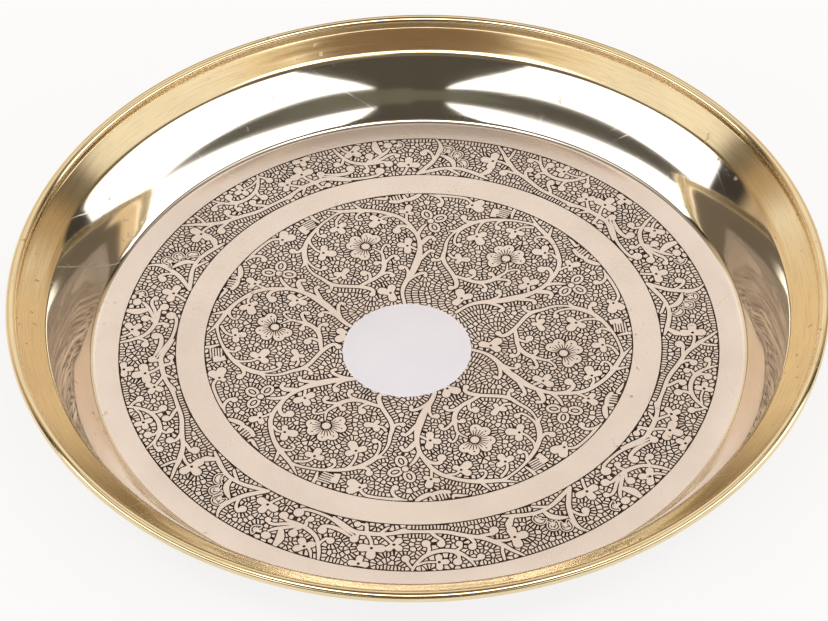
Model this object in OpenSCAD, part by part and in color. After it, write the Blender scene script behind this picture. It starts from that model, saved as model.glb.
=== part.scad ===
// Puja thali: a round ritual tray spun from one sheet of brass.
// A flat floor, a tight corner, a steep and almost straight wall, a rounded shoulder, a
// flared band and a rim curled outwards into a hollow bead. The floor is etched with a
// floral scroll in a medallion and a border, and black enamel fills the etched ground.
// Millimetres. The centre of the floor is over the origin, and the underside is at zero.

/* [Sheet] */
// Thickness of the brass sheet
sheet_t = 0.8; // [0.5:0.05:1.2]
// Radius of the flat floor
floor_r = 101.5; // [100:0.5:150]
// Radius of the corner between the floor and the wall
corner_r = 2.5; // [1.5:0.1:10]
// Slope of the wall, from level, where the corner ends
corner_slope = 57; // [45:0.2:60]
// Radius of the lower, slightly hollow stretch of the wall
hollow_r = 135; // [60:5:400]
// Slope of the wall where it is steepest
wall_slope = 60.4; // [60.2:0.2:80]
// Radius of the upper, slightly swelling stretch of the wall
swell_r = 124.8; // [60:0.2:200]
// Slope of the wall where the shoulder starts
shoulder_slope = 54; // [44:0.2:60]
// Radius of the shoulder at the top of the wall
shoulder_r = 2; // [1.5:0.1:4]
// Slope of the flared band from level
band_slope = 29; // [15:1:40]
// Width of the flared band
band_run = 8.45; // [5:0.05:16]
// Radius of the crease where the band turns up to the bead
crease_r = 0.5; // [0.3:0.05:1]
// Rise from the crease to the middle of the bead
bead_rise = 1.4; // [1.2:0.05:3]
// Radius of the hollow bead around the rim
bead_r = 1.7; // [1.5:0.05:2.2]

/* [Ornament] */
// Radius of the medallion
medallion_r = 67.6; // [50:0.2:70]
// Width of the plain ring between the medallion and the border
plain_ring_w = 8.8; // [4:0.2:12]
// Width of the border
border_w = 18.2; // [12:0.2:22]
// Depth of the etching
etch_depth = 0.3; // [0.1:0.05:0.4]
// Thickness of the black enamel in the etching
enamel_t = 0.18; // [0.05:0.01:0.28]

/* [Label] */
// Diameter of the blank paper label
label_d = 40.6; // [20:0.2:60]
// Thickness of the label
label_t = 0.12; // [0.08:0.01:0.3]
// Offset of the label from the centre, to the right
label_right = -3.7; // [-10:0.1:10]
// Offset of the label from the centre, to the back
label_back = -4.2; // [-10:0.1:10]

/* [Hidden] */
$fn = 96;

// The upper surface is walked from the centre outwards: each stretch is a length, or a
// bend of a radius and an angle, where a bend to the left is positive.
bend_step = 9;
least_cuts = 3;
bead_turn = 285;
sheet_walk = [
    [floor_r, 0, 0],
    [0, corner_r, corner_slope],
    [0, hollow_r, wall_slope - corner_slope],
    [0, swell_r, shoulder_slope - wall_slope],
    [0, shoulder_r, band_slope - shoulder_slope],
    [band_run, 0, 0],
    [0, crease_r, 90 - band_slope],
    [bead_rise, 0, 0],
    [0, bead_r, -bead_turn],
];
floor_top = sheet_t;
border_in = medallion_r + plain_ring_w;
border_out = border_in + border_w;

// The scroll repeats six times around the medallion and five times around the border.
medallion_count = 6;
border_count = 5;
medallion_start = -69;
border_start = -54;
curve_cuts = 2;
ball_cuts = 10;

// Places in the medallion are hundredths of its radius, across and out from the centre
// along the middle of one repeat. A stem is a row of places, each with its width.
medallion_stem_shares = [
    [[4.2, 30.5, 1.6], [9.5, 38.6, 2.4], [18.6, 48.3, 3.6], [24.3, 58.4, 2.2],
     [25.7, 66.0, 2.0], [24.5, 75.8, 2.0], [18.7, 84.7, 2.1], [8.6, 91.6, 2.4],
     [-1.5, 95.2, 1.9], [-8.0, 98.4, 0.5]],
    [[-1.0, 95.1, 1.8], [-9.1, 93.0, 1.3], [-18.7, 87.5, 1.7], [-25.6, 81.0, 2.2],
     [-29.4, 73.4, 2.6], [-33.9, 66.2, 0.5]],
    [[-29.6, 72.6, 1.8], [-30.6, 64.4, 1.1], [-27.0, 55.3, 1.7], [-21.5, 48.0, 2.0],
     [-12.8, 43.6, 2.0], [-8.4, 40.4, 2.2], [-8.4, 36.4, 2.6]],
    [[-12.5, 43.8, 1.6], [-2.3, 46.5, 2.0], [3.9, 53.4, 2.4], [5.5, 60.4, 1.3],
     [2.6, 65.6, 0.8]],
    [[24.6, 58.4, 1.6], [29.2, 61.8, 2.4], [32.6, 59.8, 1.2]],
    [[-2.0, 94.6, 1.4], [-6.0, 90.4, 1.5], [-7.5, 85.5, 1.3]],
    [[21.2, 82.2, 1.5], [16.6, 83.7, 1.3], [12.6, 82.4, 1.3]],
    [[-22.9, 84.0, 1.6], [-23.9, 78.0, 1.3], [-20.3, 71.7, 1.3]],
    [[-55.8, 81.2, 0.5], [-44.0, 88.2, 1.5], [-34.4, 88.0, 1.2]],
];

// A curl is a stem whose last place is a ball, with the ball's diameter as its width.
medallion_curl_shares = [
    [[3.0, 52.2, 1.6], [7.7, 56.0, 1.5], [10.9, 55.0, 2.8]],
    [[-27.2, 79.2, 1.8], [-31.2, 77.1, 1.8], [-33.5, 78.7, 3.2]],
    [[-29.6, 70.5, 1.4], [-27.9, 64.1, 1.2], [-23.6, 61.9, 2.8]],
    [[25.8, 67.0, 1.6], [23.2, 73.2, 1.9], [18.0, 72.4, 4.2]],
];

// A trefoil has a place, the direction of its stem and its reach.
medallion_trefoil_shares = [
    [-20.3, 71.7, 129, 4.6], [-7.5, 85.5, 97, 4.4], [12.6, 82.4, 22, 4.9],
    [18.7, 60.6, -47, 4.7], [-34.4, 88.0, 150, 4.6],
];

// The large flower has three notched petals and the small one three plain petals. A
// petal's outline is a row of angles from its middle, each with a distance.
flower_shares = [0, 68];
flower_turns = [45, 135, 225];
flower_eye_share = 2.2;
petal_shares = [
    [-42, 3.6], [-40, 6.6], [-30, 8.9], [-16, 9.3], [0, 8.2],
    [16, 9.3], [30, 8.9], [40, 6.6], [42, 3.6],
];
floret_shares = [35.6, 71.9];
floret_turns = [0, 90, 270];
floret_eye_share = 1.7;
floret_petal_shares = [
    [-32, 2.9], [-26, 5.2], [-13, 7.4], [0, 7.9], [13, 7.4], [26, 5.2], [32, 2.9],
];

// A trefoil's lobe, as angles from its middle, each with a share of the reach.
lobe_turns = [90, 180, 270];
lobe_shares = [[-45, 0.36], [-25, 0.82], [-12, 1], [12, 1], [25, 0.82], [45, 0.36]];

// Places in the border are hundredths along one repeat and hundredths of its width
// outwards, and widths are hundredths of its width.
border_stem_shares = [
    [[1.4, 3, 6], [5.6, 34, 8.5], [7.9, 72, 7.5], [6.6, 97, 3]],
    [[1.8, 5, 5], [9.6, 19.5, 7], [17.8, 19.5, 7.5], [25.0, 4, 4]],
    [[24.3, 97, 3], [26.9, 79, 6], [34, 39.5, 7.5], [45.2, 17, 7], [55.8, 15.5, 9],
     [63, 24.6, 8], [70.4, 26, 8], [77.4, 4, 4]],
    [[37.2, 97, 3], [41.2, 63, 8], [47.2, 59.5, 7.5], [52.8, 97, 4]],
    [[64.6, 25, 5], [64.2, 55.5, 5]],
    [[70.2, 31, 4], [77.4, 12, 6], [85.4, 6, 6], [88.8, 22, 14]],
    [[76.8, 97, 4], [78.5, 68, 6.5], [84.3, 42.4, 8], [92.6, 75, 4]],
    [[32.4, 48, 5], [24.6, 55.5, 5]],
    [[96.1, 4, 5], [98.1, 28.5, 5]],
];
border_curl_shares = [
    [[6.2, 42, 6], [5.2, 60, 6], [2.9, 60, 14]],
    [[47.6, 17, 6], [44.6, 33.5, 6], [45, 43.5, 14]],
    [[84.8, 43, 6], [89.6, 42, 6], [91.8, 34, 16]],
];
border_trefoil_shares = [
    [24.6, 55.5, 0, 24], [46, 82, 0, 17], [64.2, 55.5, -85, 24], [98.1, 28.5, 265, 22],
];
hundredth = 1 / 100;
trim_t = 0.05;

// Points of the walk: each is across, up and the heading there.
function bend_points(at, radius, angle) =
    let (
        cuts = max(least_cuts, ceil(abs(angle) / bend_step)),
        side = sign(angle) * radius,
        middle = [at[0] - side * sin(at[2]), at[1] + side * cos(at[2])]
    )
    [for (i = [1:cuts])
        let (heading = at[2] + angle * i / cuts)
        [middle[0] + side * sin(heading), middle[1] - side * cos(heading), heading]];
function stretch_points(at, stretch) =
    stretch[0] > 0
    ? [[at[0] + stretch[0] * cos(at[2]), at[1] + stretch[0] * sin(at[2]), at[2]]]
    : bend_points(at, stretch[1], stretch[2]);
function walk_points(stretches, at, i = 0) =
    i == len(stretches)
    ? []
    : let (points = stretch_points(at, stretches[i]))
      concat(points, walk_points(stretches, points[len(points) - 1], i + 1));

upper_points = concat([[0, sheet_t, 0]], walk_points(sheet_walk, [0, sheet_t, 0]));
lower_points = [for (p = upper_points)
    [max(0, p[0] + sheet_t * sin(p[2])), p[1] - sheet_t * cos(p[2])]];
sheet_outline = concat(
    [for (p = upper_points) [p[0], p[1]]],
    [for (i = [len(lower_points) - 1:-1:0]) lower_points[i]]
);
overall_r = max([for (p = upper_points) p[0]]);
overall_h = max([for (p = upper_points) p[1]]);
echo(overall_diameter = 2 * overall_r, overall_height = overall_h);

// A place of the medallion or of the border, in millimetres, with its width.
function medallion_place(p) =
    [p[0], p[1], p[2]] * medallion_r * hundredth;
function border_place(p) =
    let (
        turn = border_start - p[0] * hundredth * 360 / border_count,
        radius = border_in + p[1] * hundredth * border_w
    )
    [radius * cos(turn), radius * sin(turn), p[2] * hundredth * border_w];

// A smooth curve through places, as a list of places.
function between(a, b, c, d, t) =
    (b * 2 + (c - a) * t + (a * 2 - b * 5 + c * 4 - d) * t * t
     + (b * 3 - a - c * 3 + d) * t * t * t) / 2;
function curve_places(p) =
    let (last = len(p) - 1)
    concat(
        [for (i = [0:last - 1], j = [0:curve_cuts - 1])
            between(p[max(i - 1, 0)], p[i], p[i + 1], p[min(i + 2, last)], j / curve_cuts)],
        [p[last]]
    );
function heading_at(p, i) =
    let (a = p[max(i - 1, 0)], b = p[min(i + 1, len(p) - 1)])
    atan2(b[1] - a[1], b[0] - a[0]);
function beside(p, heading, share) =
    [p[0] - share * p[2] * sin(heading), p[1] + share * p[2] * cos(heading)];

module stem(places) {
    p = curve_places(places);
    polygon(concat(
        [for (i = [0:len(p) - 1]) beside(p[i], heading_at(p, i), 0.5)],
        [for (i = [len(p) - 1:-1:0]) beside(p[i], heading_at(p, i), -0.5)]
    ));
}

module ball(place) {
    translate([place[0], place[1]])
        polygon([for (i = [0:ball_cuts - 1])
            place[2] / 2 * [cos(i * 360 / ball_cuts), sin(i * 360 / ball_cuts)]]);
}

module curl(places) {
    last = len(places) - 1;
    neck = [places[last][0], places[last][1], places[last - 1][2]];
    stem([for (i = [0:last]) i < last ? places[i] : neck]);
    ball(places[last]);
}

// A petal or a lobe: a row of angles, each with a distance from the centre.
function polar_points(shares, reach) =
    [for (p = shares) reach * p[1] * [cos(p[0]), sin(p[0])]];

// Three rounded lobes, with the stem on the fourth side.
module trefoil(place, stem_angle, reach) {
    translate(place)
        polygon([for (turn = lobe_turns)
            each polar_points([for (p = lobe_shares) p + [turn + stem_angle, 0]], reach)]);
}

module flower(turns, shares, eye_share, unit) {
    for (turn = turns) {
        rotate(turn) polygon(polar_points(shares, unit));
    }
    ball([0, 0, 2 * unit * eye_share]);
}

module medallion_repeat() {
    unit = medallion_r * hundredth;
    for (s = medallion_stem_shares) {
        stem([for (p = s) medallion_place(p)]);
    }
    for (s = medallion_curl_shares) {
        curl([for (p = s) medallion_place(p)]);
    }
    for (s = medallion_trefoil_shares) {
        trefoil([s[0], s[1]] * unit, s[2], s[3] * unit);
    }
    translate(flower_shares * unit)
        flower(flower_turns, petal_shares, flower_eye_share, unit);
    translate(floret_shares * unit)
        flower(floret_turns, floret_petal_shares, floret_eye_share, unit);
}

module border_repeat() {
    for (s = border_stem_shares) {
        stem([for (p = s) border_place(p)]);
    }
    for (s = border_curl_shares) {
        curl([for (p = s) border_place(p)]);
    }
    for (s = border_trefoil_shares) {
        place = border_place([s[0], s[1], 0]);
        facing = atan2(place[1], place[0]) - 90;
        trefoil([place[0], place[1]], facing + s[2], s[3] * hundredth * border_w);
    }
}

// The etched ground: the field, less the figures that stand in it.
module medallion_ground() {
    difference() {
        circle(r = medallion_r);
        for (i = [0:medallion_count - 1]) {
            rotate(medallion_start - 90 + i * 360 / medallion_count) medallion_repeat();
        }
    }
}

module border_ground() {
    difference() {
        circle(r = border_out);
        circle(r = border_in);
        for (i = [0:border_count - 1]) {
            rotate(i * 360 / border_count) border_repeat();
        }
    }
}

module plate() {
    color("burlywood")
        difference() {
            rotate_extrude() polygon(sheet_outline);
            translate([0, 0, floor_top - etch_depth]) {
                linear_extrude(etch_depth + trim_t) medallion_ground();
                linear_extrude(etch_depth + trim_t) border_ground();
            }
        }
}

module border_enamel() {
    color("black")
        translate([0, 0, floor_top - etch_depth])
            linear_extrude(enamel_t) border_ground();
}

module medallion_enamel() {
    color("black")
        translate([0, 0, floor_top - etch_depth])
            linear_extrude(enamel_t) medallion_ground();
}

module centre_label() {
    color("white")
        translate([label_right, label_back, floor_top])
            cylinder(d = label_d, h = label_t);
}

plate();
border_enamel();
medallion_enamel();
centre_label();
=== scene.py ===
"""Looks of a puja thali, a round ritual tray spun from one sheet of brass.

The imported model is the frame, with +Z up out of the tray, +X to its right and +Y to its
back. Each class below holds the sizes of one part of the tray in millimetres, builds it
around the origin and hands it over in metres.
"""
from __future__ import annotations

import logging
import math
import random
from dataclasses import dataclass
from enum import Enum, IntEnum
from typing import Iterable, NamedTuple, Sequence

import bmesh
import bpy
import numpy as np
from mathutils import Matrix, Vector
from mathutils.geometry import delaunay_2d_cdt
from mathutils.kdtree import KDTree


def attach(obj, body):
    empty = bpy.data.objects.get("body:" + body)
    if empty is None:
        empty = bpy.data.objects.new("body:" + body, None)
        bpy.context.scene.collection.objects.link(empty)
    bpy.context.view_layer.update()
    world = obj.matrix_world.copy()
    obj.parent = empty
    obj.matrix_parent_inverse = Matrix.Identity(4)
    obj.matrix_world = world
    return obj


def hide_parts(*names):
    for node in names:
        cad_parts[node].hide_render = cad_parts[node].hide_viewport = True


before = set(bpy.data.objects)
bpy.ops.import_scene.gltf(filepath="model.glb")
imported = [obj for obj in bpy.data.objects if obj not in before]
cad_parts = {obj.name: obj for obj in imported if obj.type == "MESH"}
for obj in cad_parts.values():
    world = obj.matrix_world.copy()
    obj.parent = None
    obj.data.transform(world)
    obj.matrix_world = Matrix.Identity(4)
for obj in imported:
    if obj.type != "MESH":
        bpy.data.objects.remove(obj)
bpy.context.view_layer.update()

LOG = logging.getLogger("puja_thali")
MM = 0.001
FULL_TURN = 360.0
Colour = tuple[float, float, float]
Place = tuple[float, float, float]
Span = tuple[float, float]
UP: Place = (0.0, 0.0, 1.0)
ORIGIN: Place = (0.0, 0.0, 0.0)


class Slot(Enum):
    """The material slots that the tray's record names."""

    BRASS = "polished_brass"
    ENAMEL = "black_enamel"
    PAPER = "label_paper"


class Signal:
    """A number that varies over a surface, held by a node's output socket.

    Sums of signals and plain numbers read as Python, and each adds one Math node.
    """

    def __init__(self, graph: Graph, socket: bpy.types.NodeSocket) -> None:
        """Wraps one output socket of a graph."""
        self.graph = graph
        self.socket = socket

    def _sum(self, operation: str, *terms: Signal | float) -> Signal:
        """Adds one Math node.

        Args:
            operation: The Math node's operation.
            *terms: The signals or numbers that it works on.

        Returns:
            The node's result.
        """
        node = self.graph.add("ShaderNodeMath", {"operation": operation}, dict(enumerate(terms)))
        return Signal(self.graph, node.outputs[0])

    def __add__(self, other: Signal | float) -> Signal:
        """Adds a signal or a number."""
        return self._sum("ADD", self, other)

    def __radd__(self, other: float) -> Signal:
        """Adds this signal to a number."""
        return self._sum("ADD", other, self)

    def __sub__(self, other: Signal | float) -> Signal:
        """Takes a signal or a number away."""
        return self._sum("SUBTRACT", self, other)

    def __rsub__(self, other: float) -> Signal:
        """Takes this signal away from a number."""
        return self._sum("SUBTRACT", other, self)

    def __mul__(self, other: Signal | float) -> Signal:
        """Multiplies by a signal or a number."""
        return self._sum("MULTIPLY", self, other)

    def __pow__(self, power: float) -> Signal:
        """Raises this signal to a power."""
        return self._sum("POWER", self, power)

    def __abs__(self) -> Signal:
        """Drops the sign."""
        return self._sum("ABSOLUTE", self)

    def over(self, other: Signal) -> Signal:
        """Gives the larger of two signals."""
        return self._sum("MAXIMUM", self, other)

    def angle_from(self, other: Signal) -> Signal:
        """Gives the angle, in radians, whose sine is this signal and whose cosine is the other."""
        return self._sum("ARCTAN2", self, other)

    def arcsine(self) -> Signal:
        """Gives the angle, in radians, whose sine is this signal."""
        return self._sum("ARCSINE", self)

    def step(self, start: Signal | float, end: Signal | float) -> Signal:
        """Rises smoothly from 0 to 1, or falls where the end lies under the start.

        Args:
            start: The value at which the result is 0.
            end: The value at which the result is 1.

        Returns:
            The smooth step.
        """
        sockets = {"Value": self, "From Min": start, "From Max": end}
        node = self.graph.add("ShaderNodeMapRange", {"interpolation_type": "SMOOTHSTEP"}, sockets)
        return Signal(self.graph, node.outputs["Result"])


class Graph:
    """The node tree of one material or of the world."""

    def __init__(self, tree: bpy.types.NodeTree) -> None:
        """Empties a node tree, to be filled."""
        self.tree = tree
        tree.nodes.clear()

    def add(self, kind: str, settings: dict | None = None, sockets: dict | None = None) -> bpy.types.Node:
        """Adds one node.

        Args:
            kind: The node's type.
            settings: Its properties, set first.
            sockets: What its input sockets, by name or number, hold: a signal or another
                socket to link, or a plain value.

        Returns:
            The node.
        """
        node = self.tree.nodes.new(kind)
        for name, value in (settings or {}).items():
            setattr(node, name, value)
        for name, value in (sockets or {}).items():
            source = value.socket if isinstance(value, Signal) else value
            if isinstance(source, bpy.types.NodeSocket):
                self.tree.links.new(source, node.inputs[name])
            else:
                node.inputs[name].default_value = source
        return node

    def object_place(self) -> bpy.types.NodeSocket:
        """Gives the place on the piece, in metres."""
        return self.add("ShaderNodeTexCoord").outputs["Object"]

    def parts(self, vector: bpy.types.NodeSocket) -> tuple[Signal, Signal, Signal]:
        """Splits a vector into its three numbers."""
        node = self.add("ShaderNodeSeparateXYZ", sockets={0: vector})
        return tuple(Signal(self, output) for output in node.outputs)

    def vector(self, x: Signal | float, y: Signal | float, z: Signal | float) -> bpy.types.NodeSocket:
        """Joins three numbers into a vector."""
        return self.add("ShaderNodeCombineXYZ", sockets={0: x, 1: y, 2: z}).outputs[0]

    def stretched(self, vector: bpy.types.NodeSocket, turn: float, scale: Place) -> bpy.types.NodeSocket:
        """Turns a pattern's coordinates about Z and scales them.

        Args:
            vector: The coordinates.
            turn: The turn about Z, in degrees.
            scale: The scale along each axis after the turn.

        Returns:
            The new coordinates.
        """
        for change in ({"Rotation": (0.0, 0.0, math.radians(turn))}, {"Scale": scale}):
            vector = self.add("ShaderNodeMapping", sockets={"Vector": vector} | change).outputs[0]
        return vector

    def noise(self, vector: bpy.types.NodeSocket, scale: float, detail: float,
              roughness: float = 0.5) -> Signal:
        """Adds a noise pattern.

        Args:
            vector: The coordinates that it is read at.
            scale: Features to a unit.
            detail: Layers of finer noise.
            roughness: How strong the finer layers are.

        Returns:
            The noise, mostly between 0.3 and 0.7.
        """
        sockets = {"Vector": vector, "Scale": scale, "Detail": detail, "Roughness": roughness}
        return Signal(self, self.add("ShaderNodeTexNoise", {}, sockets).outputs[0])

    def mixed(self, share: Signal | float, first: bpy.types.NodeSocket | Colour,
              second: bpy.types.NodeSocket | Colour) -> bpy.types.NodeSocket:
        """Mixes two colours.

        Args:
            share: How much of the second colour shows.
            first: The first colour.
            second: The second colour.

        Returns:
            The mixed colour.
        """
        first, second = ((*c, 1.0) if isinstance(c, tuple) else c for c in (first, second))
        sockets = {0: share, 6: first, 7: second}
        return self.add("ShaderNodeMix", {"data_type": "RGBA"}, sockets).outputs[2]

    def bump(self, height: Signal) -> bpy.types.NodeSocket:
        """Turns a height in metres into a normal."""
        node = self.add("ShaderNodeBump", {}, {"Strength": 1.0, "Distance": 1.0, "Height": height})
        return node.outputs["Normal"]

    def surface(self, shader: bpy.types.Node) -> None:
        """Puts a shader on the material's output."""
        self.add("ShaderNodeOutputMaterial", sockets={"Surface": shader.outputs[0]})

    def principled(self, sockets: dict) -> None:
        """Puts a principled shader, with what its sockets hold, on the material's output."""
        self.surface(self.add("ShaderNodeBsdfPrincipled", sockets=sockets))


def new_graph(name: str) -> tuple[bpy.types.Material, Graph]:
    """Starts a material.

    Args:
        name: Its name.

    Returns:
        The material and its empty graph.
    """
    material = bpy.data.materials.new(name)
    material.use_nodes = True
    return material, Graph(material.node_tree)


@dataclass(frozen=True)
class SpunBrass:
    """Sheet brass: a mirror on the wall, streaked on the band and rim, satin on the floor.

    Lengths are in metres, scales are features to a metre, and a span is where a step
    starts and ends.
    """

    wall_colour: Colour = (0.93, 0.86, 0.75)
    rim_colour: Colour = (0.87, 0.715, 0.45)
    floor_colour: Colour = (0.84, 0.72, 0.635)
    tarnish: Colour = (0.30, 0.19, 0.09)
    # Painted shade: the dark ring laid in the floor's corner, only towards the back.
    corner_shade_colour: Colour = (0.085, 0.055, 0.032)
    cloud_share: float = 0.10
    line_share: float = 0.25
    stain_share: float = 0.55
    corner_shade_share: float = 0.85
    wall_roughness: float = 0.065
    rim_roughness: float = 0.13
    floor_roughness: float = 0.25
    edge_roughness: float = 0.15
    floor_sheen: float = 0.60
    floor_edge: float = 0.1015
    floor_blend: float = 0.0012
    ornament_edge: float = 0.0946
    ridge: float = 0.1153
    ridge_blend: float = 0.0006
    corner_shade_inner: Span = (0.1020, 0.1025)
    corner_shade_outer: Span = (0.1030, 0.1025)
    corner_shade_back: Span = (0.02, 0.07)
    cloud_scale: float = 32.0
    fleck_scale: float = 330.0
    patch_scale: float = 21.0
    dent_scale: float = 22.0
    dent_depth: float = 0.00008
    ripple_scale: float = 230.0
    ripple_depth: float = 0.00008
    ripple_stretch: float = 0.014
    ring_scale: float = 900.0
    ring_depth: float = 0.0000012
    ring_stretch: float = 0.003
    line_scale: float = 3600.0
    streak_depth: float = 0.000007
    scratch_depth: float = 0.000003
    scratch_turns: tuple[float, ...] = (12.0, 77.0, 131.0)

    def scratches(self, graph: Graph, place: bpy.types.NodeSocket) -> Signal:
        """Draws sparse straight scratches in a few directions.

        Args:
            graph: The material's graph.
            place: The place on the piece.

        Returns:
            A mask, 1 in a scratch.
        """
        mask: Signal | None = None
        for turn in self.scratch_turns:
            lines = graph.noise(graph.stretched(place, turn, (9.0, 1100.0, 9.0)), 1.0, 1.0)
            where = graph.noise(graph.stretched(place, turn, (26.0, 26.0, 26.0)), 1.0, 1.0)
            line = lines.step(0.70, 0.76) * where.step(0.52, 0.62)
            mask = line if mask is None else mask.over(line)
        return mask

    def material(self) -> bpy.types.Material:
        """Builds the finish.

        Returns:
            The material.
        """
        material, graph = new_graph("spun_brass")
        place = graph.object_place()
        x, y, z = graph.parts(place)
        radius = (x * x + y * y) ** 0.5
        turn = y.angle_from(x)
        wall = radius.step(self.floor_edge, self.floor_edge + self.floor_blend)
        rim = radius.step(self.ridge - self.ridge_blend, self.ridge + self.ridge_blend)
        edge = radius.step(self.ornament_edge, self.floor_edge)

        cloud = graph.noise(place, self.cloud_scale, 3.0, 0.6)
        fleck = graph.noise(place, self.fleck_scale, 2.0, 0.6).step(0.66, 0.74)
        stain = fleck * graph.noise(place, self.patch_scale, 1.0).step(0.46, 0.62)
        # Painted shade: a dark ring in the floor's corner, only towards the back, which is also made
        # rougher.
        corner_shade = radius.step(*self.corner_shade_inner) * radius.step(*self.corner_shade_outer) * y.step(*self.corner_shade_back)
        scratch = self.scratches(graph, place)
        around = graph.vector(radius, z, turn * self.ring_stretch)
        rings = graph.noise(around, self.ring_scale, 2.0)
        lines = graph.noise(around, self.line_scale, 2.0, 0.7)

        tone = graph.mixed(wall, self.floor_colour, self.wall_colour)
        gilt = graph.mixed(rim, tone, self.rim_colour)
        dull = cloud.step(0.35, 0.70) * self.cloud_share + rim * lines.step(0.45, 0.75) * self.line_share
        clouded = graph.mixed(dull, gilt, self.tarnish)
        stained = graph.mixed(stain * self.stain_share, clouded, self.tarnish)
        corner_shaded = graph.mixed(corner_shade * self.corner_shade_share, stained, self.corner_shade_colour)

        satin = edge * (self.edge_roughness - self.floor_roughness) + self.floor_roughness
        shine = satin * (1.0 - wall) + wall * self.wall_roughness
        shine = shine + rim * (self.rim_roughness - self.wall_roughness)
        uneven = (cloud - 0.5) * 0.08 + (rings - 0.5) * 0.05
        roughness = shine + uneven * (1.0 - wall * 0.6) + scratch * 0.15 + stain * 0.25 + corner_shade * 0.30

        dents = graph.noise(place, self.dent_scale, 1.0) * self.dent_depth
        streaks = rings * (rim * (self.streak_depth - self.ring_depth) + self.ring_depth)
        wavy = graph.vector(radius, z, turn * self.ripple_stretch)
        ripples = graph.noise(wavy, self.ripple_scale, 1.0) * rim * self.ripple_depth
        height = dents + ripples + streaks - scratch * self.scratch_depth
        metal = wall * (1.0 - self.floor_sheen) + self.floor_sheen
        graph.principled({
            "Base Color": corner_shaded, "Metallic": metal, "Roughness": roughness, "Normal": graph.bump(height),
        })
        return material


@dataclass(frozen=True)
class RubbedEnamel:
    """Matt brown-black enamel, rubbed down unevenly in the etched ground."""

    dark: Colour = (0.021, 0.010, 0.006)
    worn: Colour = (0.057, 0.031, 0.019)
    roughness: float = 0.60
    roughness_spread: float = 0.3
    gloss: float = 0.15
    wear_scale: float = 60.0
    grain_scale: float = 2600.0
    grain_depth: float = 0.00001

    def material(self) -> bpy.types.Material:
        """Builds the finish.

        Returns:
            The material.
        """
        material, graph = new_graph("rubbed_enamel")
        place = graph.object_place()
        wear = graph.noise(place, self.wear_scale, 3.0, 0.6)
        grain = graph.noise(place, self.grain_scale, 2.0)
        graph.principled({
            "Base Color": graph.mixed(wear.step(0.38, 0.66), self.dark, self.worn),
            "Roughness": self.roughness + (grain - 0.5) * self.roughness_spread,
            "Specular IOR Level": self.gloss,
            "Normal": graph.bump(grain * self.grain_depth),
        })
        return material


@dataclass(frozen=True)
class LabelPaper:
    """Blank semi-gloss paper, slightly cool, that shows the etching under it."""

    white: Colour = (0.835, 0.825, 0.905)
    shade: Colour = (0.80, 0.79, 0.87)
    shade_share: float = 0.6
    cloud_scale: float = 55.0
    roughness: float = 0.42
    roughness_spread: float = 0.2
    fibre_scale: float = 2400.0
    fibre_depth: float = 0.000004
    ripple_scale: float = 240.0
    ripple_depth: float = 0.00002

    def material(self) -> bpy.types.Material:
        """Builds the finish.

        Returns:
            The material.
        """
        material, graph = new_graph("label_paper")
        place = graph.object_place()
        fibre = graph.noise(place, self.fibre_scale, 3.0, 0.65)
        ripple = graph.noise(place, self.ripple_scale, 2.0, 0.55)
        cloud = graph.noise(place, self.cloud_scale, 2.0)
        height = fibre * self.fibre_depth + ripple * self.ripple_depth
        graph.principled({
            "Base Color": graph.mixed(cloud.step(0.35, 0.75) * self.shade_share, self.white, self.shade),
            "Roughness": self.roughness + (fibre - 0.5) * self.roughness_spread,
            "Normal": graph.bump(height),
        })
        return material


@dataclass(frozen=True)
class Finishes:
    """The materials that the pieces share."""

    brass: bpy.types.Material
    enamel: bpy.types.Material
    paper: bpy.types.Material


def linked(name: str, data: bpy.types.ID) -> bpy.types.Object:
    """Makes an object of a mesh or a camera and puts it in the scene."""
    made = bpy.data.objects.new(name, data)
    bpy.context.scene.collection.objects.link(made)
    return made


def mesh_object(name: str, bm: bmesh.types.BMesh, material: bpy.types.Material) -> bpy.types.Object:
    """Makes an object of a bmesh, in the scene.

    Args:
        name: The object's name.
        bm: The mesh. It is used up.
        material: The material of all its faces.

    Returns:
        The object.
    """
    mesh = bpy.data.meshes.new(name)
    bm.to_mesh(mesh)
    bm.free()
    mesh.materials.append(material)
    return linked(name, mesh)


def spun(outline: Sequence[tuple[float, float]], segments: int) -> bmesh.types.BMesh:
    """Spins a section about Z into a closed body.

    Args:
        outline: The section's corners, across and up.
        segments: How many slices make the full turn.

    Returns:
        The body.
    """
    bm = bmesh.new()
    verts = [bm.verts.new((across, 0.0, up)) for across, up in outline]
    edges = [bm.edges.new(pair) for pair in zip(verts, verts[1:] + verts[:1])]
    bmesh.ops.spin(
        bm, geom=verts + edges, axis=UP, cent=ORIGIN, angle=math.radians(FULL_TURN), steps=segments,
        use_merge=True,
    )
    bmesh.ops.remove_doubles(bm, verts=bm.verts, dist=0.0001)
    bmesh.ops.delete(bm, geom=[e for e in bm.edges if not e.link_faces], context="EDGES")
    bmesh.ops.recalc_face_normals(bm, faces=bm.faces)
    return bm


def thicken(bm: bmesh.types.BMesh, height: float) -> None:
    """Raises a copy of flat faces by a height and closes the sides, as one body."""
    raised = bmesh.ops.extrude_face_region(bm, geom=bm.faces[:], use_keep_orig=True)
    risen = [item for item in raised["geom"] if isinstance(item, bmesh.types.BMVert)]
    bmesh.ops.translate(bm, vec=(0.0, 0.0, height), verts=risen)
    bmesh.ops.recalc_face_normals(bm, faces=bm.faces)


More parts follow.
